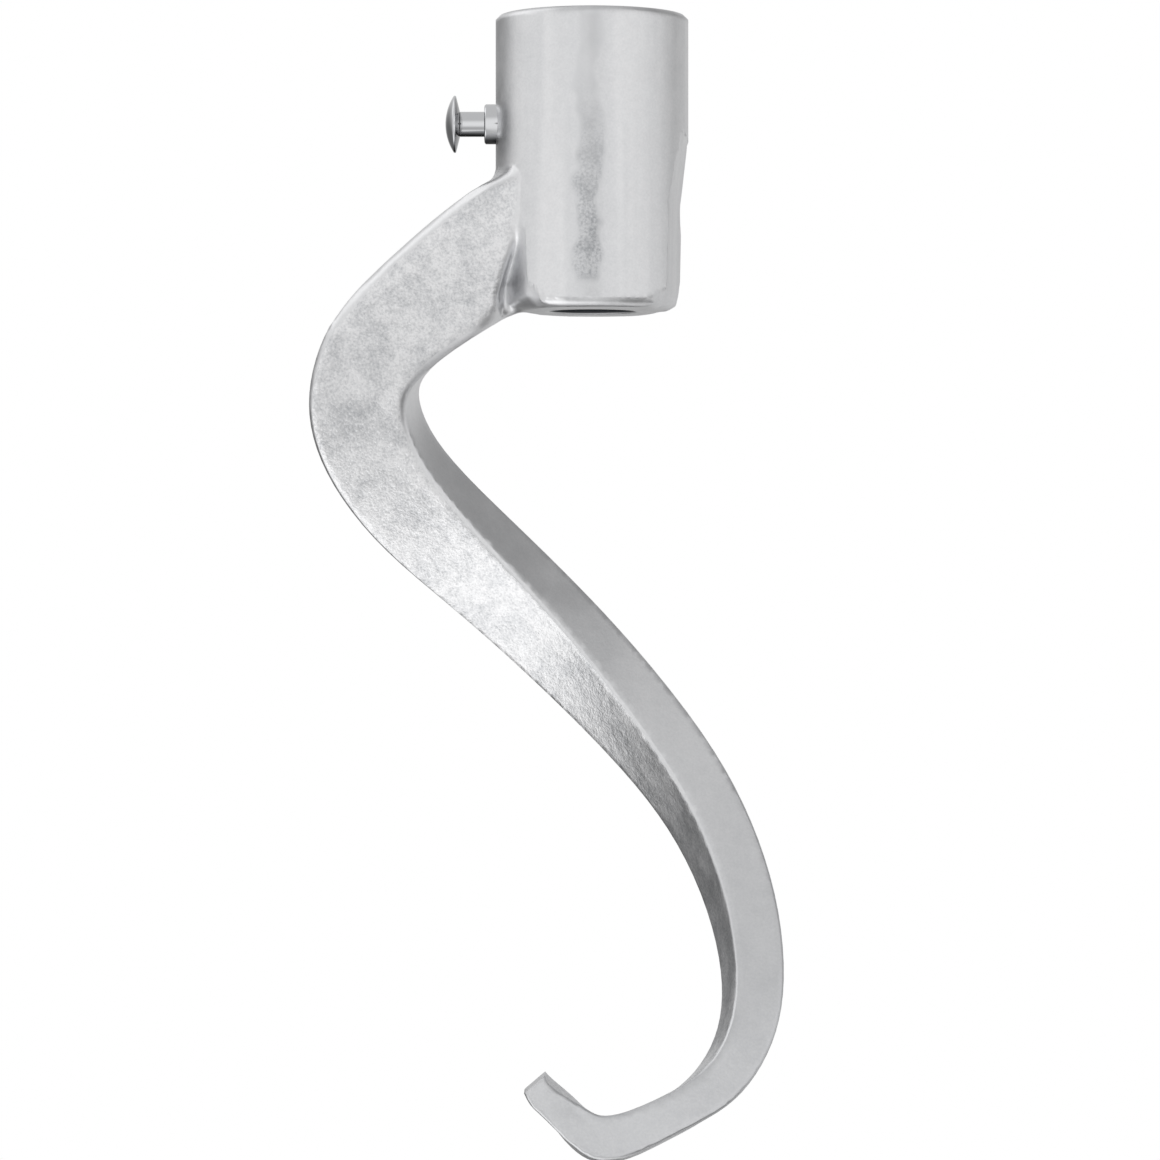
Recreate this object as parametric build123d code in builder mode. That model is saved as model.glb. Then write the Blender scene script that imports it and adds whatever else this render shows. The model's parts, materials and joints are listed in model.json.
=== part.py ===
from build123d import *
import os
from collections import namedtuple
from math import cos, radians, sin

# Dough hook: a hub bored for the mixer's shaft, a twisted arm cast on to it and a sprung pull pin
# that locks it on the shaft. Millimetres, +Z up, origin on the bore axis at the hub's top face.
# The pin sticks out along -X, and the arm leaves the hub on the same side.

# Hub
hub_diameter = 38.5
hub_height = 59.0
hub_top_bevel = 0.8
hub_bottom_round = 2.2

# Drafted flats on both sides of the lower hub, which run out into the round hub above
flat_half_width = 17.9
flat_lean = 0.4
flat_top_drop = 38.0
flat_runout = 12.0
flat_draft = 13.0
arm_side_flat_top_drop = 45.0
arm_side_flat_runout = 6.0
arm_side_flat_draft = 18.0
flat_bevel = 1.2

# Shaft bore: two machined lands with a cored relief between them, round the lock pin
bore_diameter = 17.0
bore_chamfer = 0.4
upper_land = 14.0
relief_height = 15.0
relief_depth = 0.8

# Arm: how far its first bend stands out from the bore axis, how far it swings behind the axis, how
# far the heel of its curl lies below the hub's top, and its section where it leaves the hub
arm_reach = 46.0
arm_swing = 22.0
arm_drop = 222.3
arm_width = 28.0
arm_thickness = 20.0
arm_edge_bevel = 1.6
arm_root_direction = (-1.0, 0.0, -0.1)
arm_tip_direction = (-0.65, 0.0, 0.76)

# Notch below the arm's root, in front and behind, which bares the hub's flat. It is cut back to a
# web in the middle of the arm, from its top end by the hub to its foot at the hub's bottom corner.
notch_top_out = 13.0
notch_top_drop = 41.5
notch_foot_out = 18.1
notch_foot_drop = 56.0
notch_web = 4.0
notch_draft = 4.0

# Stations along the arm's middle line, in percent of the sizes above. Twist, in degrees, turns the
# broad face that looks at the front at the hub away from the inside of the first bend. Bevel is that
# of the section's edges, which are broad at the hub and almost sharp along the rest of the arm.
Station = namedtuple("Station", "out back down wide thick twist bevel")
arm_stations = [
    Station(21.7, 0.0, 20.1, 92.0, 132.0, -3, 100),
    Station(37.0, 0.0, 20.7, 94.5, 110.0, -3, 100),
    Station(69.6, 9.1, 25.1, 80.7, 77.5, -3, 100),
    Station(93.5, 27.3, 29.9, 73.5, 70.0, 2, 80),
    Station(100.0, 45.5, 34.6, 71.5, 67.0, 12, 60),
    Station(87.0, 68.2, 41.2, 70.0, 64.0, 25, 50),
    Station(51.1, 90.9, 48.8, 67.0, 61.5, 38, 44),
    Station(18.5, 100.0, 55.1, 65.0, 59.5, 46, 40),
    Station(-19.6, 86.4, 63.4, 61.5, 57.5, 57, 38),
    Station(-46.7, 63.6, 70.9, 58.5, 55.0, 66, 38),
    Station(-63.0, 36.4, 78.3, 55.7, 52.5, 73, 36),
    Station(-69.6, 9.1, 85.0, 53.0, 50.0, 79, 36),
    Station(-66.3, -18.2, 91.3, 50.0, 46.5, 85, 34),
    Station(-51.1, -40.9, 96.0, 47.0, 42.5, 92, 34),
    Station(-28.3, -59.1, 98.7, 44.3, 39.5, 99, 34),
    Station(-0.2, -68.2, 99.9, 40.0, 41.8, 99, 34),
    Station(8.6, -68.2, 98.5, 37.0, 35.7, 95, 34),
    Station(16.6, -68.2, 96.9, 34.0, 30.5, 92, 34),
    Station(24.6, -68.2, 95.1, 30.7, 27.0, 90, 34),
]

# Pull pin, measured outwards from the bore axis along the pin
pin_drop = 21.5
pin_diameter = 5.0
pin_clearance = 0.05
pin_reach = 4.0
pin_tip_chamfer = 0.6
flange_diameter = 6.4
flange_thickness = 1.2
flange_gap = 0.05

bushing_diameter = 8.0
bushing_fit = 0.02
bushing_seat = 11.0
bushing_proud = 2.25
bushing_end_wall = 1.6
bushing_edge = 0.3
chamber_diameter = 6.8

spring_wire = 0.5
spring_mean_diameter = 5.8
spring_turns = 3.0
spring_wire_sides = 5
spring_end_gap = 0.1

knob_diameter = 11.4
knob_gap = 4.9
knob_underside = 0.8
knob_rim = 0.4
knob_dome = 1.7
spigot_diameter = 3.4
spigot_length = 1.8
spigot_fit = 0.02

# Places worked out from the sizes above
hub_radius = hub_diameter / 2
bore_radius = bore_diameter / 2
relief_radius = bore_radius + relief_depth
lower_land_top = upper_land + relief_height
bushing_face = hub_radius + bushing_proud
chamber_end = bushing_face - bushing_end_wall
flange_start = bushing_seat + flange_gap
flange_end = flange_start + flange_thickness
stem_end = bushing_face + knob_gap
pin_tip = bore_radius - pin_reach
guide_diameter = pin_diameter + 2 * pin_clearance

pin_centre = (0, 0, -pin_drop)
pin_axis = Axis(pin_centre, (-1, 0, 0))
# Turned pieces are drawn on this plane: x runs outwards along the pin, y is the radius
pin_profile_plane = Plane(origin=pin_centre, x_dir=(-1, 0, 0), z_dir=(0, 1, 0))
# Holes for the pin are drawn on this plane and cut outwards
pin_hole_plane = Plane(origin=pin_centre, x_dir=(0, 1, 0), z_dir=(-1, 0, 0))

os.makedirs("parts", exist_ok=True)


def station_point(station):
    """Place of a station on the arm's middle line."""
    return Vector(
        -arm_reach * station.out / 100,
        arm_swing * station.back / 100,
        -arm_drop * station.down / 100,
    )


def section_plane(station):
    """Plane across the arm: x towards the inside of the first bend, y out of the front face."""
    point = station_point(station)
    tangent = arm_edge.tangent_at(arm_edge.param_at_point(point))
    front = Vector(0, -1, 0)
    front = (front - tangent * front.dot(tangent)).normalized()
    inner = front.cross(tangent)
    turn = radians(station.twist)
    return Plane(origin=point, x_dir=inner * cos(turn) + front * sin(turn), z_dir=tangent)


# Middle line of the arm, which gives each section its tilt
with BuildLine() as arm_line:
    Spline(
        *[station_point(station) for station in arm_stations],
        tangents=(arm_root_direction, arm_tip_direction),
    )
arm_edge = arm_line.edges()[0]

# Notch, drafted so that it widens outwards
with BuildPart() as root_notch:
    with BuildSketch(Plane.XZ.offset(notch_web / 2)):
        with BuildLine():
            Polyline(
                (0, -notch_top_drop),
                (-notch_top_out, -notch_top_drop),
                (-notch_foot_out, -notch_foot_drop),
                (-notch_foot_out, -hub_height - arm_width),
                (0, -hub_height - arm_width),
                close=True,
            )
        make_face()
    extrude(amount=arm_thickness, taper=-notch_draft)
    mirror(about=Plane.XZ)

# Arm, lofted through its bevelled sections
with BuildPart() as arm:
    for station in arm_stations:
        half_width = arm_width * station.wide / 200
        half_thickness = arm_thickness * station.thick / 200
        edge = arm_edge_bevel * station.bevel / 100
        with BuildSketch(section_plane(station)):
            Polygon(
                (-half_width + edge, half_thickness),
                (-half_width, half_thickness - edge),
                (-half_width, -half_thickness + edge),
                (-half_width + edge, -half_thickness),
                (half_width - edge, -half_thickness),
                (half_width, -half_thickness + edge),
                (half_width, half_thickness - edge),
                (half_width - edge, half_thickness),
                align=None,
            )
    loft()
    add(root_notch, mode=Mode.SUBTRACT)

# Hub and arm, one casting
with BuildPart() as hook_casting:
    with BuildSketch(Plane.XZ):
        Rectangle(hub_radius, hub_height, align=(Align.MIN, Align.MAX))
        outer_corners = vertices().group_by(Axis.X)[-1].sort_by(Axis.Y)
        chamfer(outer_corners[-1], hub_top_bevel)
        fillet(outer_corners[0], hub_bottom_round)
    revolve(axis=Axis.Z)

    flats = (
        (-1, arm_side_flat_top_drop, arm_side_flat_runout, arm_side_flat_draft),
        (1, flat_top_drop, flat_runout, flat_draft),
    )
    for side, top_drop, runout, draft in flats:
        with BuildSketch(Plane.XZ):
            with BuildLine():
                Polyline(
                    (side * (flat_half_width - flat_lean - flat_bevel), -hub_height),
                    (side * (flat_half_width - flat_lean), -hub_height + flat_bevel),
                    (side * flat_half_width, -top_drop),
                    (side * hub_radius, -top_drop + runout),
                    (side * 2 * hub_radius, -top_drop + runout),
                    (side * 2 * hub_radius, -hub_height),
                    close=True,
                )
            make_face()
        extrude(amount=hub_radius, both=True, taper=-draft, mode=Mode.SUBTRACT)

    add(arm)

    # Bore, relieved between its two lands, with an edge break at both mouths
    with BuildSketch(Plane.XZ):
        with BuildLine():
            Polyline(
                (0, 0),
                (bore_radius + bore_chamfer, 0),
                (bore_radius, -bore_chamfer),
                (bore_radius, -upper_land),
                (relief_radius, -upper_land - relief_depth),
                (relief_radius, -lower_land_top + relief_depth),
                (bore_radius, -lower_land_top),
                (bore_radius, -hub_height + bore_chamfer),
                (bore_radius + bore_chamfer, -hub_height),
                (0, -hub_height),
                close=True,
            )
        make_face()
    revolve(axis=Axis.Z, mode=Mode.SUBTRACT)

    # Stepped hole for the pull pin, through one wall of the hub
    with BuildSketch(pin_hole_plane):
        Circle(guide_diameter / 2)
    extrude(amount=bushing_seat, mode=Mode.SUBTRACT)
    with BuildSketch(pin_hole_plane.offset(bushing_seat)):
        Circle(bushing_diameter / 2 + bushing_fit)
    extrude(amount=hub_radius, mode=Mode.SUBTRACT)

hook_casting.part.label = "hook_casting"
export_step(hook_casting.part, "parts/hook_casting.step")

# Sleeve in the hub wall: its end shows as the collar, and it is bored from inside for the spring
with BuildPart() as pin_bushing:
    with BuildSketch(pin_profile_plane):
        with BuildLine():
            Polyline(
                (bushing_seat, chamber_diameter / 2),
                (chamber_end, chamber_diameter / 2),
                (chamber_end, guide_diameter / 2),
                (bushing_face, guide_diameter / 2),
                (bushing_face, bushing_diameter / 2 - bushing_edge),
                (bushing_face - bushing_edge, bushing_diameter / 2),
                (bushing_seat, bushing_diameter / 2),
                close=True,
            )
        make_face()
    revolve(axis=pin_axis)

pin_bushing.part.label = "pin_bushing"
export_step(pin_bushing.part, "parts/pin_bushing.step")

# Lock pin: tip in the bore, flange that the spring pushes on, stem, and spigot for the knob
with BuildPart() as lock_pin:
    with BuildSketch(pin_profile_plane):
        with BuildLine():
            Polyline(
                (pin_tip, 0),
                (pin_tip, pin_diameter / 2 - pin_tip_chamfer),
                (pin_tip + pin_tip_chamfer, pin_diameter / 2),
                (flange_start, pin_diameter / 2),
                (flange_start, flange_diameter / 2),
                (flange_end, flange_diameter / 2),
                (flange_end, pin_diameter / 2),
                (stem_end, pin_diameter / 2),
                (stem_end, spigot_diameter / 2),
                (stem_end + spigot_length, spigot_diameter / 2),
                (stem_end + spigot_length, 0),
                close=True,
            )
        make_face()
    revolve(axis=pin_axis)

lock_pin.part.label = "lock_pin"
export_step(lock_pin.part, "parts/lock_pin.step")

# Mushroom knob: hollow cone underneath, thin rim, shallow dome
with BuildPart() as pull_knob:
    rim_start = stem_end + knob_underside
    rim_end = rim_start + knob_rim
    hole_end = stem_end + spigot_length + spigot_fit
    dome_radius = (knob_diameter**2 / 4 + knob_dome**2) / (2 * knob_dome)
    with BuildSketch(pin_profile_plane):
        with BuildLine():
            Polyline(
                (rim_end + knob_dome, 0),
                (hole_end, 0),
                (hole_end, spigot_diameter / 2 + spigot_fit),
                (stem_end, spigot_diameter / 2 + spigot_fit),
                (stem_end, pin_diameter / 2),
                (rim_start, knob_diameter / 2),
                (rim_end, knob_diameter / 2),
            )
            RadiusArc((rim_end, knob_diameter / 2), (rim_end + knob_dome, 0), dome_radius)
        make_face()
    revolve(axis=pin_axis)

pull_knob.part.label = "pull_knob"
export_step(pull_knob.part, "parts/pull_knob.step")

# Compression spring round the stem, between the flange and the end wall of the sleeve
with BuildPart() as pin_spring:
    spring_start = flange_end + spring_end_gap + spring_wire / 2
    spring_end = chamber_end - spring_end_gap - spring_wire / 2
    with BuildLine():
        coil = Helix(
            pitch=(spring_end - spring_start) / spring_turns,
            height=spring_end - spring_start,
            radius=spring_mean_diameter / 2,
            center=(-spring_start, 0, -pin_drop),
            direction=(-1, 0, 0),
        )
    with BuildSketch(Plane(origin=coil @ 0, z_dir=coil % 0)):
        RegularPolygon(spring_wire / 2, spring_wire_sides)
    sweep()

pin_spring.part.label = "pin_spring"
export_step(pin_spring.part, "parts/pin_spring.step")
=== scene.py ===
"""Dough hook for a stand mixer: tumbled aluminium casting with a polished, sprung pull pin."""

import json
from functools import partial
from math import asin, cos, hypot, pi, radians, sin

import bmesh
import bpy
import numpy as np
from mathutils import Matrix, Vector


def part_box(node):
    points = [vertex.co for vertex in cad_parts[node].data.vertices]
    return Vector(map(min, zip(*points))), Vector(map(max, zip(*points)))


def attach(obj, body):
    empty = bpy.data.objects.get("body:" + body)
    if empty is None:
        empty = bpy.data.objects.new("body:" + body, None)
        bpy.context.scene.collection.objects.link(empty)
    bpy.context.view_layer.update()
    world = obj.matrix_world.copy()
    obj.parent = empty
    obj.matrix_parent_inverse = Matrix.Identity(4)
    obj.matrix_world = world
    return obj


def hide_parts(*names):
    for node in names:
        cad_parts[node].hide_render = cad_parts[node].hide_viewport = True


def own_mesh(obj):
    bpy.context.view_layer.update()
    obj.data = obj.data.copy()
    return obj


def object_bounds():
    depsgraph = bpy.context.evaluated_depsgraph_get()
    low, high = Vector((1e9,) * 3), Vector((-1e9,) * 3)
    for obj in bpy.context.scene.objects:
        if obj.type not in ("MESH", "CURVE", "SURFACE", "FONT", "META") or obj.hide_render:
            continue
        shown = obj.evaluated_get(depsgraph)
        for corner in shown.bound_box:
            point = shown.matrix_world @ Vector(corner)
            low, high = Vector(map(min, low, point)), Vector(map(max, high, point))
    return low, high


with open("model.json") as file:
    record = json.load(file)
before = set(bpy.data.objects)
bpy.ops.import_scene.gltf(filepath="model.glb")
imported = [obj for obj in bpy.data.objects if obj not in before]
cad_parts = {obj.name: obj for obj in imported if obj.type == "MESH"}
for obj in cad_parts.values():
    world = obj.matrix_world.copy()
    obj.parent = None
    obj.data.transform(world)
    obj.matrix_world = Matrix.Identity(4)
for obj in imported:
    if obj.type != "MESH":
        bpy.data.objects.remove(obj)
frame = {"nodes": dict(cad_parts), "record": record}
cad_box = [list(corner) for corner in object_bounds()]

bl_info = {
    "name": "Dough Hook",
    "version": (1, 0, 0),
    "blender": (4, 5, 0),
    "location": "View3D > Sidebar > Dough Hook",
    "description": "Dresses the dough hook's CAD pieces in their real finishes",
    "category": "Object",
}

MM = 0.001
BORE_RADIUS = frame["record"]["mounts"][0]["dims"]["r_mm"] * MM
MERGE_DISTANCE = 0.001 * MM

# Where the casting's features lie, measured from the bore's axis and the hub's top
OUTSIDE_RADIUS = BORE_RADIUS + 4 * MM
TOP_ZONE = -10 * MM
ROUNDED_TOP = (-8 * MM, -0.01 * MM)
ROOT_SIDE = -10 * MM
ROOT_HEIGHTS = (-42 * MM, -28 * MM)
NOTCH_HEIGHTS = (-58.5 * MM, -40 * MM)
NOTCH_HALF_WIDTH = 2.5 * MM
FLATS_SIDE = 12 * MM
FLATS_HEIGHTS = (-45 * MM, -22 * MM)
FOOT_SIDE = -9 * MM
FOOT_HEIGHTS = (-60 * MM, -57 * MM)

# Where the casting's mesh is finest
FINE_ROOT = (-60 * MM, -20 * MM)
FINE_FLATS = (-46 * MM, -20 * MM)
FINE_FOOT = (-60 * MM, -52 * MM)
FINE_TOP = -4 * MM

# How the casting's mesh is smoothed
SHARP_ANGLE = radians(18)
FACE_PASSES = 8
ROOT_PASSES = 40
RIM_PASSES = 60
FOOT_PASSES = 60
ROUND_TOLERANCE = 0.16 * MM
ROUND_BOTTOM = -58 * MM
SIDE_SLOPE = 0.2

# Rays that meet the sides of the arm that tumbling has mottled: start in millimetres, direction
STRUCK_RAYS = (
    ((-36, -300, -60), (0, 1, 0)),
    ((-36, 300, -60), (0, -1, 0)),
    ((300, 18, -127), (-1, 0, 0)),
)
STRUCK_ANGLE = radians(16)

# How the pin's pieces are turned and finished
BEVEL_ANGLE = radians(30)
TURNED_ANGLE = radians(35)
WIRE_ANGLE = radians(40)
DOME_STEPS = 10
DOME_TIP = 0.05 * MM
TURNING_PITCH = MM / 6
TURNING_RUN = 5 * MM
# Share of the painted shade on the faces that look in at the hub
INWARD_SHADE = 0.74

# The studio round the hook, in degrees: turn to the right of the camera, rise, outer and inner
# half angle, and then the brightness that each adds to the room
STUDIO = (
    (0, -2, 46, 12, 0.32),  # white wall behind the camera
    (-62, 0, 46, 10, 0.22),  # its left wing
    (62, 0, 46, 10, 0.22),  # its right wing
    (0, 0, 9, 5, -0.85),  # the camera, dark in that wall
    (-80, -50, 32, 8, 0.8),  # low soft box on the left
    (-20, -76, 20, 6, 0.25),  # front edge of that box, under the hub
    (-104, 40, 34, 10, 0.55),  # high reflector on the left
    (-40, -38, 24, 8, -0.14),  # shade between the soft box and the wall
    (-142, -14, 38, 14, -0.5),  # dark card behind, on the left
    (118, 40, 46, 16, -0.34),  # dark card behind, up on the right
    (66, -38, 34, 14, -0.5),  # dark card low on the right
    (180, -42, 20, 8, -0.6),  # dark edge of the table behind
    (0, -90, 28, 10, 0.3),  # white table below
)
WHITE = (1, 1, 1, 1)
FLOOR_SIDES = 128
LAMP_OFFSET = Vector((0.35, -0.45, 0.8))
SENSOR_WIDTH_MM = 36
NEAR_CLIP = 10 * MM

MATH = "ShaderNodeMath"
RANGE = "ShaderNodeMapRange"
SOFT = {"interpolation_type": "SMOOTHSTEP"}


def linear(hex_colour):
    """An sRGB hex colour as linear red, green, blue and full alpha."""
    parts = [int(hex_colour[i : i + 2], 16) / 255 for i in (1, 3, 5)]
    return (
        *((p / 12.92 if p <= 0.04045 else ((p + 0.055) / 1.055) ** 2.4) for p in parts),
        1.0,
    )


def length(name, description, default_mm):
    """A length property, given in millimetres and kept in metres."""
    return bpy.props.FloatProperty(
        name=name,
        description=description,
        default=default_mm * MM,
        min=0,
        unit="LENGTH",
        precision=5,
    )


def colour(name, description, hex_colour):
    """A colour property, given as sRGB hex."""
    return bpy.props.FloatVectorProperty(
        name=name,
        description=description,
        default=linear(hex_colour),
        subtype="COLOR",
        size=4,
        min=0,
        max=1,
    )


def factor(name, description, default):
    """A property from 0 to 1."""
    return bpy.props.FloatProperty(
        name=name, description=description, default=default, min=0, max=1, subtype="FACTOR"
    )


def count(name, description, default, least):
    """A whole number property."""
    return bpy.props.IntProperty(name=name, description=description, default=default, min=least)


class CastingSettings(bpy.types.PropertyGroup):
    """Surface of the aluminium casting."""

    mesh_step: length("Mesh Step", "Longest edge in the casting's mesh", 2.0)
    fine_step: length("Fine Step", "Longest edge at the arm's root, the flats and the ends", 0.9)
    edge_reach: length("Edge Reach", "Width beside a sharp edge that keeps its shape", 1.2)
    rim_reach: length("Rim Reach", "How far the soft rims of the notch and flats run out", 6.0)
    root_reach: length("Root Reach", "How far the fillet runs out from the arm's root", 7.0)
    foot_reach: length("Foot Reach", "How far wear runs up from the hub's bottom edge", 5.0)
    bright: colour("Bright Metal", "High spots polished by tumbling", "#F4F4F5")
    dull: colour("Dull Metal", "Low spots that tumbling has not reached", "#B9BBBE")
    # Painted reflection of the dark camera on the hub's front
    camera_reflection: colour("Camera Reflection", "Painted reflection of the dark camera, speckled, on the hub's front", "#AAACAF")
    # Painted shade in the bore, where little light gets in
    bore_shade: colour("Bore Shade", "Painted shade inside the shaft bore", "#4A4C50")
    grain: length("Grain", "Width of the tumbled grain", 0.5)
    reflection_width: length("Reflection Width", "Width of the painted reflection stripe", 5.0)


class PinSettings(bpy.types.PropertyGroup):
    """Turned pieces of the pull pin, and its spring."""

    stem_diameter: length("Stem Diameter", "Sliding stem of the lock pin", 5.0)
    tip_chamfer: length("Tip Chamfer", "Lead-in at the tip inside the bore", 0.6)
    flange_diameter: length("Flange Diameter", "Shoulder that the spring pushes on", 6.4)
    flange_thickness: length("Flange Thickness", "Thickness of that shoulder", 1.2)
    flange_gap: length("Flange Gap", "Room between the shoulder and the casting", 0.05)
    chamber_diameter: length("Chamber Diameter", "Spring chamber in the collar sleeve", 6.8)
    end_wall: length("End Wall", "Wall at the collar's outer end", 1.6)
    collar_chamfer: length("Collar Chamfer", "Chamfer round the collar's outer face", 0.3)
    guide_clearance: length("Guide Clearance", "Room round the stem in the collar", 0.05)
    spigot_diameter: length("Spigot Diameter", "Seat of the knob on the pin", 3.4)
    spigot_length: length("Spigot Length", "Depth of that seat", 1.8)
    spigot_fit: length("Spigot Fit", "Room round the spigot", 0.02)
    knob_underside: length("Knob Underside", "Depth of the knob's hollow underside", 0.8)
    knob_rim: length("Knob Rim", "Height of the knob's rim", 0.4)
    edge_break: length("Edge Break", "Rounding of the turned edges", 0.12)
    spring_wire: length("Spring Wire", "Diameter of the spring's wire", 0.5)
    spring_turns: count("Spring Turns", "Turns of the spring", 3, 1)
    turn_steps: count("Turn Steps", "Facets along each turn of the spring", 48, 12)
    wire_sides: count("Wire Sides", "Facets round the spring's wire", 12, 5)
    sides: count("Sides", "Facets round each turned piece", 96, 12)
    steel: colour("Polished Steel", "Colour of the polished pin pieces", "#DCDDDF")
    steel_roughness: factor("Steel Roughness", "Roughness of the polished pin pieces", 0.05)
    # Dark colour of the painted shade under the pin pieces
    underside_shade: colour("Underside Shade", "Painted shade on the undersides of the pin pieces", "#222325")
    spring_steel: colour("Spring Steel", "Colour of the drawn spring wire", "#A9ABAE")
    wire_roughness: factor("Wire Roughness", "Roughness of the drawn spring wire", 0.25)


class StageSettings(bpy.types.PropertyGroup):
    """Floor, light and camera."""

    floor_drop: length("Floor Drop", "Room between the hook's heel and the floor", 60)
    floor_radius: length("Floor Radius", "Radius of the floor", 440)
    floor: colour("Floor", "Pale floor", "#F2F2F2")
    room: factor("Room", "Brightness of the white room", 0.65)
    lamp_size: length("Lamp Size", "Diameter of the round lamp above", 600)
    lamp_power: bpy.props.FloatProperty(
        name="Lamp Power", description="Power of that lamp", default=4.0, min=0, unit="POWER"
    )
    camera_left: length("Camera Left", "Camera to the left of the bore", 2.4)
    camera_distance: length("Camera Distance", "Camera in front of the bore", 920)
    camera_drop: length("Camera Drop", "Camera below the hub's top", 112.6)
    lens: bpy.props.FloatProperty(
        name="Lens", description="Focal length in millimetres", default=142.8, unit="CAMERA"
    )


def add_node(tree, kind, inputs=None, **settings):
    """Add a node with its settings; inputs are values, or nodes or sockets to link from."""
    node = tree.nodes.new(kind)
    for name, value in settings.items():
        setattr(node, name, value)
    for name, value in (inputs or {}).items():
        if isinstance(value, bpy.types.Node):
            value = value.outputs[0]
        if isinstance(value, bpy.types.NodeSocket):
            tree.links.new(value, node.inputs[name])
        else:
            node.inputs[name].default_value = value
    return node


def new_material(name):
    """An empty node material with its output, as (material, tree, surface socket)."""
    material = bpy.data.materials.new(name)
    material.use_nodes = True
    tree = material.node_tree
    tree.nodes.clear()
    output = add_node(tree, "ShaderNodeOutputMaterial")
    return material, tree, output.inputs["Surface"]


def tumbled_aluminium(sizes):
    """Cast aluminium, tumbled bright.

    Gives the eye a satin metal that is mottled along the arm, calmer on the hub and almost even on
    the side worn by dough. Painted shade darkens the lower arm and the bore, and a speckled
    painted reflection of the dark camera runs down the hub's front.
    """
    material, tree, surface = new_material("tumbled_cast_aluminium")
    add = partial(add_node, tree)
    place = add("ShaderNodeTexCoord").outputs["Object"]
    across, deep, up = add("ShaderNodeSeparateXYZ", {"Vector": place}).outputs
    level = add("ShaderNodeVectorMath", {0: place, 1: (1, 1, 0)}, operation="MULTIPLY")
    from_axis = add("ShaderNodeVectorMath", {0: level}, operation="LENGTH").outputs["Value"]
    struck = add("ShaderNodeAttribute", attribute_name="struck").outputs["Fac"]

    # Soft steps across the casting: what is measured, start and end in millimetres, the two values
    zone = {}
    for name, measure, start, end, before, after in (
        ("hub side", from_axis, 20.4, 19.2, 0, 1),
        ("above hub foot", up, -59.6, -58.6, 0, 1),
        ("bore side", from_axis, 10.2, 9.8, 0, 1),
        ("above bore mouth", up, -58.95, -58.6, 0, 1),
        ("below hub top", up, -0.2, -0.6, 0, 1),
        # painted shade on the lower arm
        ("lower arm shade", up, -130, -195, 0.72, 0.5),
        ("stain growth", up, -10, -46, 0.2, 1),
        ("stain end", up, -55, -52, 0, 1),
        ("hub front", deep, -12, -15, 0, 1),
    ):
        limits = {"From Min": start * MM, "From Max": end * MM, "To Min": before, "To Max": after}
        zone[name] = add(RANGE, {"Value": measure, **limits}, **SOFT)
    on_hub = add(MATH, {0: zone["hub side"], 1: zone["above hub foot"]}, operation="MULTIPLY")
    in_bore = add(MATH, {0: zone["bore side"], 1: zone["above bore mouth"]}, operation="MULTIPLY")
    in_bore = add(MATH, {0: in_bore, 1: zone["below hub top"]}, operation="MULTIPLY")
    off_hub = add(MATH, {0: 1.0, 1: on_hub}, operation="SUBTRACT")
    struck = add(MATH, {0: struck, 1: off_hub}, operation="MULTIPLY")
    mottle = add(MATH, {0: struck, 1: 0.8, 2: 0.2}, operation="MULTIPLY_ADD")

    # Patterns by their width and detail, and how they are stretched upright. The grain is drawn
    # coarser than tumbling leaves it, as coarse as it needs to show.
    pattern = {}
    for name, width, detail, upright in (
        ("grain", sizes.grain, 5, 1),
        ("dapple", 4 * sizes.grain, 3, 1),
        ("patches", 18 * sizes.grain, 3, 1),
        ("bands", 7 * MM, 2, 0.04),
        ("drift", 11 * MM, 2, 1),
        ("flecks", 0.5 * MM, 3, 1),
        ("blots", 4 * MM, 2, 1),
    ):
        scale = (1 / width, 1 / width, upright / width)
        scaled = add("ShaderNodeMapping", {"Vector": place, "Scale": scale})
        look = {"Scale": 1.0, "Detail": detail, "Roughness": 0.6}
        pattern[name] = add("ShaderNodeTexNoise", {"Vector": scaled, **look})

    # Three sizes of mottling, even about nought
    strengths = {"grain": 1.5, "dapple": 1.0, "patches": 1.4}
    mottling = -sum(strengths.values()) / 2
    for name, strength in strengths.items():
        mottling = add(
            MATH, {0: pattern[name], 1: strength, 2: mottling}, operation="MULTIPLY_ADD"
        )
    # Painted shade: the lower arm is painted a little darker towards the bottom
    polish = add(MATH, {0: mottling, 1: mottle, 2: zone["lower arm shade"]}, operation="MULTIPLY_ADD")
    # Faint upright bands, as left by drawing the hub from its mould
    limits = {"From Min": 0.35, "From Max": 0.65, "To Min": -0.1, "To Max": 0.1}
    bands = add(RANGE, {"Value": pattern["bands"], **limits}, **SOFT)
    polish = add(MATH, {0: bands, 1: on_hub, 2: polish}, operation="MULTIPLY_ADD")

    # Painted reflection of the dark camera: a speckled stripe that wanders down the front of the
    # hub and gets stronger towards the bottom
    limits = {"From Min": 0.3, "From Max": 0.7, "To Min": -0.4 * MM, "To Max": 2.2 * MM}
    drift = add(RANGE, {"Value": pattern["drift"], **limits}, **SOFT)
    from_reflection = add(MATH, {0: across, 1: drift}, operation="ADD")
    from_reflection = add(MATH, {0: from_reflection}, operation="ABSOLUTE")
    limits = {"From Min": 0.62 * sizes.reflection_width, "From Max": 0.3 * sizes.reflection_width}
    stripe = add(RANGE, {"Value": from_reflection, **limits}, **SOFT)
    flecks = add(MATH, {0: pattern["flecks"], 1: 0.6}, operation="MULTIPLY")
    speckle = add(MATH, {0: pattern["blots"], 1: 0.4, 2: flecks}, operation="MULTIPLY_ADD")
    speckle = add(RANGE, {"Value": speckle, "From Min": 0.3, "From Max": 0.66}, **SOFT)
    for share in (zone["stain growth"], zone["stain end"], zone["hub front"], on_hub, speckle):
        stripe = add(MATH, {0: stripe, 1: share}, operation="MULTIPLY")

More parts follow.
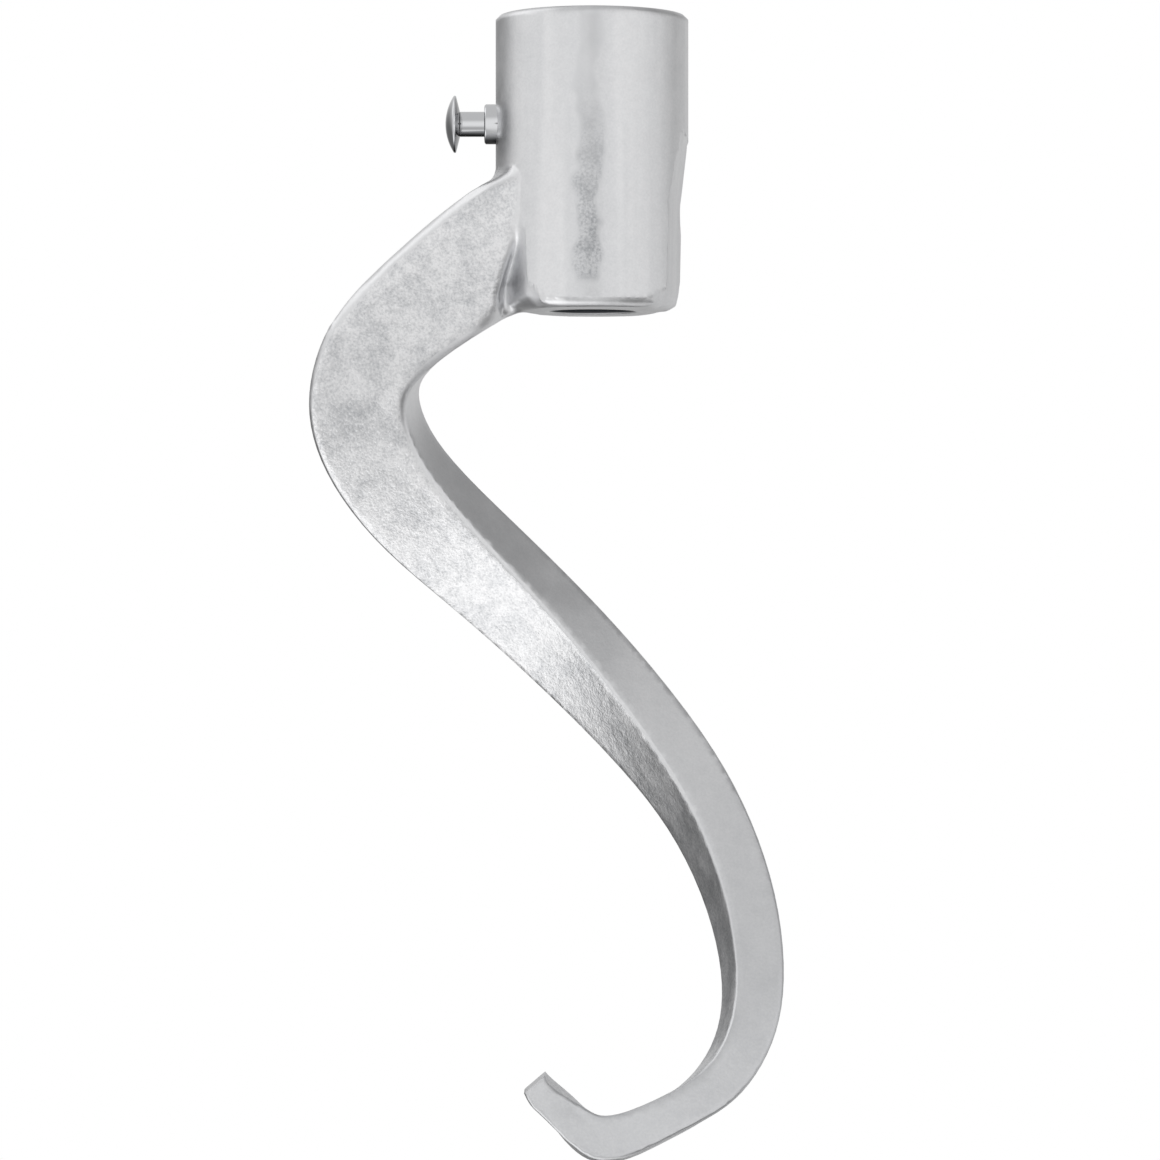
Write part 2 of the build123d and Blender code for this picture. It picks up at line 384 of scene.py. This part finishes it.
    metal = sizes.dull
    for share, layer in (
        (polish, sizes.bright),
        # painted reflection of the dark camera
        (stripe, sizes.camera_reflection),
        # painted shade in the bore
        (in_bore, sizes.bore_shade),
    ):
        metal = add("ShaderNodeMix", {0: share, 6: metal, 7: layer}, data_type="RGBA").outputs[2]

    # Satin metal, rougher in the bore
    limits = {"From Min": 0.3, "From Max": 0.7, "To Min": 0.34, "To Max": 0.42}
    satin = add(RANGE, {"Value": pattern["patches"], **limits}, **SOFT)
    rough = add(MATH, {0: in_bore, 1: 0.25, 2: satin}, operation="MULTIPLY_ADD")
    height = add(
        MATH, {0: pattern["grain"], 1: 0.4, 2: pattern["dapple"]}, operation="MULTIPLY_ADD"
    )
    strength = add(MATH, {0: mottle, 1: 0.8}, operation="MULTIPLY")
    bump = add("ShaderNodeBump", {"Height": height, "Strength": strength, "Distance": 0.2 * MM})
    shader = add(
        "ShaderNodeBsdfPrincipled",
        {"Base Color": metal, "Metallic": 1.0, "Roughness": rough, "Normal": bump},
    )
    tree.links.new(shader.outputs["BSDF"], surface)
    return material


def polished_steel(name, metal, roughness, underside_shade):
    """Turned steel, polished.

    Gives the eye a bright mirror with fine turning lines round the axis, darkened underneath by
    painted shade.
    """
    material, tree, surface = new_material(name)
    add = partial(add_node, tree)
    place = add("ShaderNodeTexCoord").outputs["Object"]
    # The turning lines are drawn coarser than a lathe leaves them, as coarse as they need to show
    scale = (1 / TURNING_PITCH, 1 / TURNING_RUN, 1 / TURNING_RUN)
    scaled = add("ShaderNodeMapping", {"Vector": place, "Scale": scale})
    lines = add("ShaderNodeTexNoise", {"Vector": scaled, "Scale": 1.0, "Detail": 2.0})
    rough = add(RANGE, {"Value": lines, "To Min": 0.6 * roughness, "To Max": 1.4 * roughness})
    # Painted shade: the steel is mixed towards the dark colour where the under mask is high
    under = add("ShaderNodeAttribute", attribute_name="under").outputs["Fac"]
    shade_share = add(RANGE, {"Value": under, "From Min": 0.4, "From Max": 0.9}, **SOFT)
    shaded_steel = add("ShaderNodeMix", {0: shade_share, 6: metal, 7: underside_shade}, data_type="RGBA").outputs[2]
    shader = add(
        "ShaderNodeBsdfPrincipled", {"Base Color": shaded_steel, "Metallic": 1.0, "Roughness": rough}
    )
    tree.links.new(shader.outputs["BSDF"], surface)
    return material


def select_only(obj):
    """Object mode, with this object alone selected and active."""
    if bpy.context.mode != "OBJECT":
        bpy.ops.object.mode_set(mode="OBJECT")
    bpy.ops.object.select_all(action="DESELECT")
    obj.select_set(True)
    bpy.context.view_layer.objects.active = obj


def apply_modifier(obj, kind, **settings):
    """Add a modifier to the active object and apply it."""
    modifier = obj.modifiers.new(kind.lower(), kind)
    for name, value in settings.items():
        setattr(modifier, name, value)
    bpy.ops.object.modifier_apply(modifier=modifier.name)


def copy_of_node(node_name, name):
    """A merged copy of a CAD node's mesh, as a new object."""
    obj = bpy.data.objects.new(name, frame["nodes"][node_name].data.copy())
    obj.data.name = name
    bpy.context.scene.collection.objects.link(obj)
    obj.data.materials.clear()
    select_only(obj)
    bpy.ops.object.mode_set(mode="EDIT")
    bpy.ops.mesh.select_all(action="SELECT")
    bpy.ops.mesh.remove_doubles(threshold=MERGE_DISTANCE)
    bpy.ops.mesh.customdata_custom_splitnormals_clear()
    bpy.ops.object.mode_set(mode="OBJECT")
    return obj


def within(value, limits):
    """Whether a value lies between two limits."""
    return limits[0] < value < limits[1]


def middle_of(edge):
    """The middle of a mesh edge."""
    return (edge.verts[0].co + edge.verts[1].co) / 2


def is_outside(place):
    """Whether a place is on the hub's outside or beyond it, and not in its bore."""
    return hypot(place.x, place.y) > OUTSIDE_RADIUS


def is_sharp(edge):
    """Whether the two faces at an edge meet at a corner."""
    return edge.is_manifold and edge.calc_face_angle() > SHARP_ANGLE


def is_root(edge):
    """Whether an edge is in the hollow corner where the arm leaves the hub."""
    middle = middle_of(edge)
    in_place = is_outside(middle) and within(middle.z, ROOT_HEIGHTS)
    return is_sharp(edge) and not edge.is_convex and in_place


def is_rim(edge):
    """Whether an edge borders the notch at the arm's root or the flats on the hub's right."""
    x, y, z = middle_of(edge)
    notch = x < ROOT_SIDE and within(z, NOTCH_HEIGHTS) and abs(y) > NOTCH_HALF_WIDTH
    flats = x > FLATS_SIDE and within(z, FLATS_HEIGHTS)
    return is_sharp(edge) and (notch or flats)


def is_foot(edge):
    """Whether an edge is on the outside of the hub's bottom."""
    middle = middle_of(edge)
    in_place = middle.x > FOOT_SIDE and within(middle.z, FOOT_HEIGHTS)
    return is_sharp(edge) and is_outside(middle) and in_place


def is_crisp(edge):
    """Whether a sharp edge keeps its shape."""
    return is_sharp(edge) and not (is_root(edge) or is_rim(edge) or is_foot(edge))


def wire_of_edges(source, name, wanted):
    """A wire of the edges of source that wanted accepts."""
    wire = bpy.data.objects.new(name, source.data.copy())
    bpy.context.scene.collection.objects.link(wire)
    mesh = bmesh.new()
    mesh.from_mesh(wire.data)
    drop = [edge for edge in mesh.edges if not wanted(edge)]
    bmesh.ops.delete(mesh, geom=drop, context="EDGES")
    mesh.to_mesh(wire.data)
    mesh.free()
    return wire


def weigh_by_distance(obj, group_name, target, reach):
    """Vertex weights from 0 on the target's edges to 1 at reach from them."""
    group = obj.vertex_groups.new(name=group_name)
    group.add(range(len(obj.data.vertices)), 1.0, "REPLACE")
    apply_modifier(
        obj,
        "VERTEX_WEIGHT_PROXIMITY",
        vertex_group=group_name,
        target=target,
        proximity_mode="GEOMETRY",
        proximity_geometry={"EDGE"},
        min_dist=0.0,
        max_dist=reach,
        falloff_type="SMOOTH",
    )


def smooth(obj, group_name, passes, near_target=True):
    """Smooth a mesh near the edges that a group was weighed from, or away from them."""
    apply_modifier(
        obj,
        "SMOOTH",
        factor=0.5,
        iterations=passes,
        vertex_group=group_name,
        invert_vertex_group=near_target,
    )


def refine(obj, step_at):
    """Halve the edges of a mesh until none is longer than step_at its middle; no corner moves."""
    mesh = bmesh.new()
    mesh.from_mesh(obj.data)
    while True:
        long_edges = [
            edge for edge in mesh.edges if edge.calc_length() > step_at(middle_of(edge))
        ]
        if not long_edges:
            break
        bmesh.ops.subdivide_edges(mesh, edges=long_edges, cuts=1, use_single_edge=True)
        bmesh.ops.triangulate(mesh, faces=[face for face in mesh.faces if len(face.verts) > 3])
    mesh.to_mesh(obj.data)
    mesh.free()


def top_outline(casting):
    """The heights of the corners round the hub's top, and the hub's radius at each."""
    rings = {}
    for corner in casting.data.vertices:
        if corner.co.z > TOP_ZONE and is_outside(corner.co):
            height = round(corner.co.z, 6)
            rings[height] = max(hypot(corner.co.x, corner.co.y), rings.get(height, 0))
    heights = sorted(rings)
    return heights, [rings[height] for height in heights]


def round_top_edge(casting, outline):
    """Bring the hub's rounded top edge back to true circles between the solid's corners."""
    for corner in casting.data.vertices:
        if within(corner.co.z, ROUNDED_TOP) and is_outside(corner.co):
            radius = hypot(corner.co.x, corner.co.y)
            corner.co.xy *= np.interp(corner.co.z, *outline) / radius


def round_side(casting, group_name, radius):
    """Bring a round side of the hub back to its true cylinder."""
    group = casting.vertex_groups.new(name=group_name)
    near = [
        v.index
        for v in casting.data.vertices
        if abs(hypot(v.co.x, v.co.y) - radius) < ROUND_TOLERANCE
        and abs(v.normal.z) < SIDE_SLOPE
        and v.co.z > ROUND_BOTTOM
    ]
    group.add(near, 1.0, "REPLACE")
    apply_modifier(
        casting,
        "CAST",
        cast_type="CYLINDER",
        factor=1.0,
        size=radius,
        use_radius_as_size=False,
        use_z=False,
        vertex_group=group_name,
    )


def mark_struck_sides(casting):
    """Mark the sides of the arm that tumbling has mottled, each from one face to its edges."""
    struck = casting.data.attributes.new("struck", "FLOAT", "FACE").name
    bpy.context.view_layer.update()
    seeds = [
        casting.ray_cast(Vector(start) * MM, direction)[3] for start, direction in STRUCK_RAYS
    ]
    select_only(casting)
    bpy.ops.object.mode_set(mode="EDIT")
    bpy.ops.mesh.select_mode(type="FACE")
    bpy.ops.mesh.select_all(action="DESELECT")
    bpy.ops.object.mode_set(mode="OBJECT")
    for seed in seeds:
        casting.data.polygons[seed].select = True
    bpy.ops.object.mode_set(mode="EDIT")
    bpy.ops.mesh.faces_select_linked_flat(sharpness=STRUCK_ANGLE)
    bpy.ops.mesh.select_mode(type="VERT")
    bpy.ops.object.mode_set(mode="OBJECT")
    casting.data.attributes[struck].data.foreach_set(
        "value", [float(face.select) for face in casting.data.polygons]
    )


class DOUGHHOOK_OT_casting(bpy.types.Operator):
    """Make the casting: the CAD solid in a fine mesh, with a filleted root and true round sides"""

    bl_idname = "dough_hook.casting"
    bl_label = "Casting"

    def execute(self, context):
        sizes = context.scene.dough_hook_casting

        def step_at(place):
            near_root = place.x < ROOT_SIDE and within(place.z, FINE_ROOT)
            near_flats = place.x > FLATS_SIDE and within(place.z, FINE_FLATS)
            near_ends = place.z > FINE_TOP or within(place.z, FINE_FOOT)
            return sizes.fine_step if near_root or near_flats or near_ends else sizes.mesh_step

        casting = copy_of_node("hook_casting", "tumbled_casting")
        outline = top_outline(casting)
        crisp = wire_of_edges(casting, "crisp_edges", is_crisp)
        root = wire_of_edges(casting, "root_edges", is_root)
        rims = wire_of_edges(casting, "rim_edges", is_rim)
        foot = wire_of_edges(casting, "foot_edges", is_foot)
        refine(casting, step_at)
        round_top_edge(casting, outline)
        mark_struck_sides(casting)

        weigh_by_distance(casting, "crisp", crisp, sizes.edge_reach)
        weigh_by_distance(casting, "root", root, sizes.root_reach)
        smooth(casting, "crisp", FACE_PASSES, near_target=False)
        weigh_by_distance(casting, "rims", rims, sizes.rim_reach)
        smooth(casting, "root", ROOT_PASSES)
        smooth(casting, "rims", RIM_PASSES)
        weigh_by_distance(casting, "foot", foot, sizes.foot_reach)
        smooth(casting, "foot", FOOT_PASSES)
        round_side(casting, "hub", max(outline[1]))
        round_side(casting, "bore", BORE_RADIUS)

        for wire in (crisp, root, rims, foot):
            bpy.data.objects.remove(wire)
        casting.vertex_groups.clear()
        select_only(casting)
        bpy.ops.object.shade_smooth()
        apply_modifier(casting, "WEIGHTED_NORMAL", mode="FACE_AREA", weight=100, keep_sharp=False)
        casting.data.materials.append(tumbled_aluminium(sizes))
        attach(casting, "hook")
        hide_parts("hook_casting")
        return {"FINISHED"}


def turned_piece(name, profile, sizes, ring=False):
    """Turn a profile of (distance out along the pin, radius) pairs; a ring's profile is closed."""
    low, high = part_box("pin_bushing")
    axis_z = (low.z + high.z) / 2
    (out, radius), *steps = profile
    bpy.ops.object.select_all(action="DESELECT")
    bpy.ops.mesh.primitive_circle_add(
        vertices=sizes.sides,
        radius=radius,
        fill_type="NOTHING" if ring else "NGON",
        location=(-out, 0, axis_z),
        rotation=(0, -pi / 2, 0),
    )
    piece = bpy.context.object
    piece.name = piece.data.name = name
    bpy.ops.object.transform_apply(location=True, rotation=True, scale=True)
    bpy.ops.object.mode_set(mode="EDIT")
    bpy.ops.mesh.select_all(action="SELECT")
    for next_out, next_radius in steps:
        bpy.ops.mesh.extrude_region_move(TRANSFORM_OT_translate={"value": (out - next_out, 0, 0)})
        grow = next_radius / radius
        bpy.ops.transform.resize(value=(1, grow, grow), center_override=(-next_out, 0, axis_z))
        out, radius = next_out, next_radius
    bpy.ops.mesh.select_all(action="SELECT")
    bpy.ops.mesh.remove_doubles(threshold=MERGE_DISTANCE)
    bpy.ops.mesh.normals_make_consistent(inside=False)
    bpy.ops.object.mode_set(mode="OBJECT")
    apply_modifier(
        piece,
        "BEVEL",
        width=sizes.edge_break,
        segments=2,
        limit_method="ANGLE",
        angle_limit=BEVEL_ANGLE,
    )
    bpy.ops.object.shade_smooth_by_angle(angle=TURNED_ANGLE)
    return piece


class DOUGHHOOK_OT_pin(bpy.types.Operator):
    """Turn the collar, the lock pin and the mushroom knob"""

    bl_idname = "dough_hook.pin"
    bl_label = "Pull Pin"

    def execute(self, context):
        sizes = context.scene.dough_hook_pin
        low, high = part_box("pin_bushing")
        collar_face, collar_seat = -low.x, -high.x
        collar_radius = (high.z - low.z) / 2
        guide_radius = sizes.stem_diameter / 2 + sizes.guide_clearance
        chamber_radius = sizes.chamber_diameter / 2
        chamber_end = collar_face - sizes.end_wall
        collar = turned_piece(
            "collar",
            [
                (collar_seat, chamber_radius),
                (chamber_end, chamber_radius),
                (chamber_end, guide_radius),
                (collar_face, guide_radius),
                (collar_face, collar_radius - sizes.collar_chamfer),
                (collar_face - sizes.collar_chamfer, collar_radius),
                (collar_seat, collar_radius),
                (collar_seat, chamber_radius),
            ],
            sizes,
            ring=True,
        )

        low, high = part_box("lock_pin")
        tip, spigot_end = -high.x, -low.x
        stem_radius = sizes.stem_diameter / 2
        flange_radius = sizes.flange_diameter / 2
        flange_start = collar_seat + sizes.flange_gap
        flange_end = flange_start + sizes.flange_thickness
        stem_end = spigot_end - sizes.spigot_length
        spigot_radius = sizes.spigot_diameter / 2
        lock_pin = turned_piece(
            "pin_stem",
            [
                (tip, stem_radius - sizes.tip_chamfer),
                (tip + sizes.tip_chamfer, stem_radius),
                (flange_start, stem_radius),
                (flange_start, flange_radius),
                (flange_end, flange_radius),
                (flange_end, stem_radius),
                (stem_end, stem_radius),
                (stem_end, spigot_radius),
                (spigot_end, spigot_radius),
            ],
            sizes,
        )

        low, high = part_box("pull_knob")
        knob_radius = (high.z - low.z) / 2
        rim_start = stem_end + sizes.knob_underside
        rim_end = rim_start + sizes.knob_rim
        rise = -low.x - rim_end
        dome_radius = (knob_radius**2 + rise**2) / (2 * rise)
        rim_angle = asin(knob_radius / dome_radius)
        dome = [rim_angle * (1 - step / DOME_STEPS) for step in range(1, DOME_STEPS)]
        hole_radius = spigot_radius + sizes.spigot_fit
        knob = turned_piece(
            "mushroom_knob",
            [
                (spigot_end + sizes.spigot_fit, hole_radius),
                (stem_end, hole_radius),
                (stem_end, stem_radius),
                (rim_start, knob_radius),
                (rim_end, knob_radius),
                *(
                    (-low.x - dome_radius * (1 - cos(angle)), dome_radius * sin(angle))
                    for angle in dome
                ),
                (-low.x, DOME_TIP),
            ],
            sizes,
        )
        steel = polished_steel(
            "polished_turned_steel", sizes.steel, sizes.steel_roughness, sizes.underside_shade
        )
        for piece, node, body in (
            (collar, "pin_bushing", "hook"),
            (lock_pin, "lock_pin", "pin"),
            (knob, "pull_knob", "pin"),
        ):
            # Painted shade underneath, fainter on the faces that look in at the hub
            under = piece.data.attributes.new("under", "FLOAT", "POINT")
            under.data.foreach_set(
                "value", [max(-v.normal.z, INWARD_SHADE * v.normal.x) for v in piece.data.vertices]
            )
            piece.data.materials.append(steel)
            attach(piece, body)
            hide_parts(node)
        return {"FINISHED"}


class DOUGHHOOK_OT_spring(bpy.types.Operator):
    """Wind the spring that drives the lock pin into the bore"""

    bl_idname = "dough_hook.spring"
    bl_label = "Spring"

    def execute(self, context):
        sizes = context.scene.dough_hook_pin
        low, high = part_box("pin_spring")
        wire_radius = sizes.spring_wire / 2
        mean_radius = (high.z - low.z) / 2 - wire_radius
        axis_z = (low.z + high.z) / 2
        run = high.x - low.x - sizes.spring_wire
        bpy.ops.object.select_all(action="DESELECT")
        bpy.ops.mesh.primitive_circle_add(
            vertices=sizes.wire_sides,
            radius=wire_radius,
            fill_type="NGON",
            location=(0, mean_radius, 0),
        )
        spring = context.object
        spring.name = spring.data.name = "drive_spring"
        bpy.ops.object.transform_apply(location=True, rotation=True, scale=True)
        bpy.ops.object.mode_set(mode="EDIT")
        bpy.ops.mesh.select_all(action="SELECT")
        bpy.ops.transform.rotate(
            value=pi / 2, orient_axis="Y", center_override=(0, mean_radius, 0)
        )
        bpy.ops.object.mode_set(mode="OBJECT")
        apply_modifier(
            spring,
            "SCREW",
            axis="X",
            angle=2 * pi,
            screw_offset=-run / sizes.spring_turns,
            iterations=sizes.spring_turns,
            steps=sizes.turn_steps,
            render_steps=sizes.turn_steps,
            use_merge_vertices=False,
        )
        spring.location = (high.x - wire_radius, 0, axis_z)
        bpy.ops.object.transform_apply(location=True, rotation=True, scale=True)
        bpy.ops.object.mode_set(mode="EDIT")
        bpy.ops.mesh.select_all(action="SELECT")
        bpy.ops.mesh.normals_make_consistent(inside=False)
        bpy.ops.object.mode_set(mode="OBJECT")
        bpy.ops.object.shade_smooth_by_angle(angle=WIRE_ANGLE)
        spring.data.materials.append(
            polished_steel(
                "drawn_spring_steel", sizes.spring_steel, sizes.wire_roughness, sizes.underside_shade
            )
        )
        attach(spring, "hook")
        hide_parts("pin_spring")
        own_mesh(spring)
        return {"FINISHED"}


class DOUGHHOOK_OT_stage(bpy.types.Operator):
    """Lay the floor, hang the studio light and set the camera"""

    bl_idname = "dough_hook.stage"
    bl_label = "Stage"

    def execute(self, context):
        sizes = context.scene.dough_hook_stage
        scene = context.scene
        scene.view_settings.view_transform = "Standard"

        bpy.ops.object.select_all(action="DESELECT")
        floor_z = cad_box[0][2] - sizes.floor_drop
        bpy.ops.mesh.primitive_circle_add(
            vertices=FLOOR_SIDES,
            radius=sizes.floor_radius,
            fill_type="NGON",
            location=(0, 0, floor_z),
        )
        floor = context.object
        floor.name = "floor"
        # Matt paint, which gives the eye an even ground with no shine
        material, tree, surface = new_material("matt_pale_floor")
        paint = add_node(tree, "ShaderNodeBsdfDiffuse", {"Color": sizes.floor})
        tree.links.new(paint.outputs["BSDF"], surface)
        floor.data.materials.append(material)
        floor.visible_glossy = False

        world = bpy.data.worlds.new("studio")
        world.use_nodes = True
        scene.world = world
        world.node_tree.nodes.clear()
        add = partial(add_node, world.node_tree)
        direction = add("ShaderNodeTexCoord").outputs["Generated"]
        total = sizes.room
        for turn, rise, outer, inner, strength in STUDIO:
            turn, rise = radians(turn), radians(rise)
            aim = (sin(turn) * cos(rise), -cos(turn) * cos(rise), sin(rise))
            along = add("ShaderNodeVectorMath", {0: direction, 1: aim}, operation="DOT_PRODUCT")
            glow = add(
                RANGE,
                {
                    "Value": along.outputs["Value"],
                    "From Min": cos(radians(outer)),
                    "From Max": cos(radians(inner)),
                    "To Max": strength,
                },
                **SOFT,
            )
            total = add(MATH, {0: total, 1: glow}, operation="ADD")
        room = add("ShaderNodeBackground", {"Color": WHITE, "Strength": total})
        backdrop = add("ShaderNodeBackground", {"Color": WHITE, "Strength": 1.0})
        seen = add("ShaderNodeLightPath").outputs["Is Camera Ray"]
        mixed = add("ShaderNodeMixShader", {0: seen, 1: room, 2: backdrop})
        add("ShaderNodeOutputWorld", {"Surface": mixed})

        middle = Vector([(a + b) / 2 for a, b in zip(*cad_box)])
        light = bpy.data.lights.new("top_light", "AREA")
        light.shape = "DISK"
        light.size = sizes.lamp_size
        light.energy = sizes.lamp_power
        lamp = bpy.data.objects.new("top_light", light)
        lamp.location = middle + LAMP_OFFSET
        lamp.rotation_euler = (middle - lamp.location).to_track_quat("-Z", "Y").to_euler()
        lamp.visible_camera = False
        lamp.visible_glossy = False
        scene.collection.objects.link(lamp)

        camera = bpy.data.cameras.new("photo_camera")
        camera.lens = sizes.lens
        camera.sensor_width = SENSOR_WIDTH_MM
        camera.clip_start = NEAR_CLIP
        viewer = bpy.data.objects.new("photo_camera", camera)
        viewer.location = (-sizes.camera_left, -sizes.camera_distance, -sizes.camera_drop)
        viewer.rotation_euler = (pi / 2, 0, 0)
        scene.collection.objects.link(viewer)
        scene.camera = viewer
        return {"FINISHED"}


GROUPS = {
    "dough_hook_casting": CastingSettings,
    "dough_hook_pin": PinSettings,
    "dough_hook_stage": StageSettings,
}
STEPS = (DOUGHHOOK_OT_casting, DOUGHHOOK_OT_pin, DOUGHHOOK_OT_spring, DOUGHHOOK_OT_stage)


class DOUGHHOOK_PT_sidebar(bpy.types.Panel):
    """Settings of the dough hook, and a button for each step"""

    bl_idname = "DOUGHHOOK_PT_sidebar"
    bl_label = "Dough Hook"
    bl_space_type = "VIEW_3D"
    bl_region_type = "UI"
    bl_category = "Dough Hook"

    def draw(self, context):
        for step in STEPS:
            self.layout.operator(step.bl_idname)
        for group in GROUPS:
            settings = getattr(context.scene, group)
            box = self.layout.box()
            for name in settings.bl_rna.properties.keys():
                if name not in {"rna_type", "name"}:
                    box.prop(settings, name)


CLASSES = (*GROUPS.values(), *STEPS, DOUGHHOOK_PT_sidebar)


def register():
    for cls in CLASSES:
        bpy.utils.register_class(cls)
    for name, group in GROUPS.items():
        setattr(bpy.types.Scene, name, bpy.props.PointerProperty(type=group))


def unregister():
    for name in GROUPS:
        delattr(bpy.types.Scene, name)
    for cls in reversed(CLASSES):
        bpy.utils.unregister_class(cls)


def main():
    register()
    bpy.ops.dough_hook.casting()
    bpy.ops.dough_hook.pin()
    bpy.ops.dough_hook.spring()
    bpy.ops.dough_hook.stage()


if __name__ == "__main__":
    main()
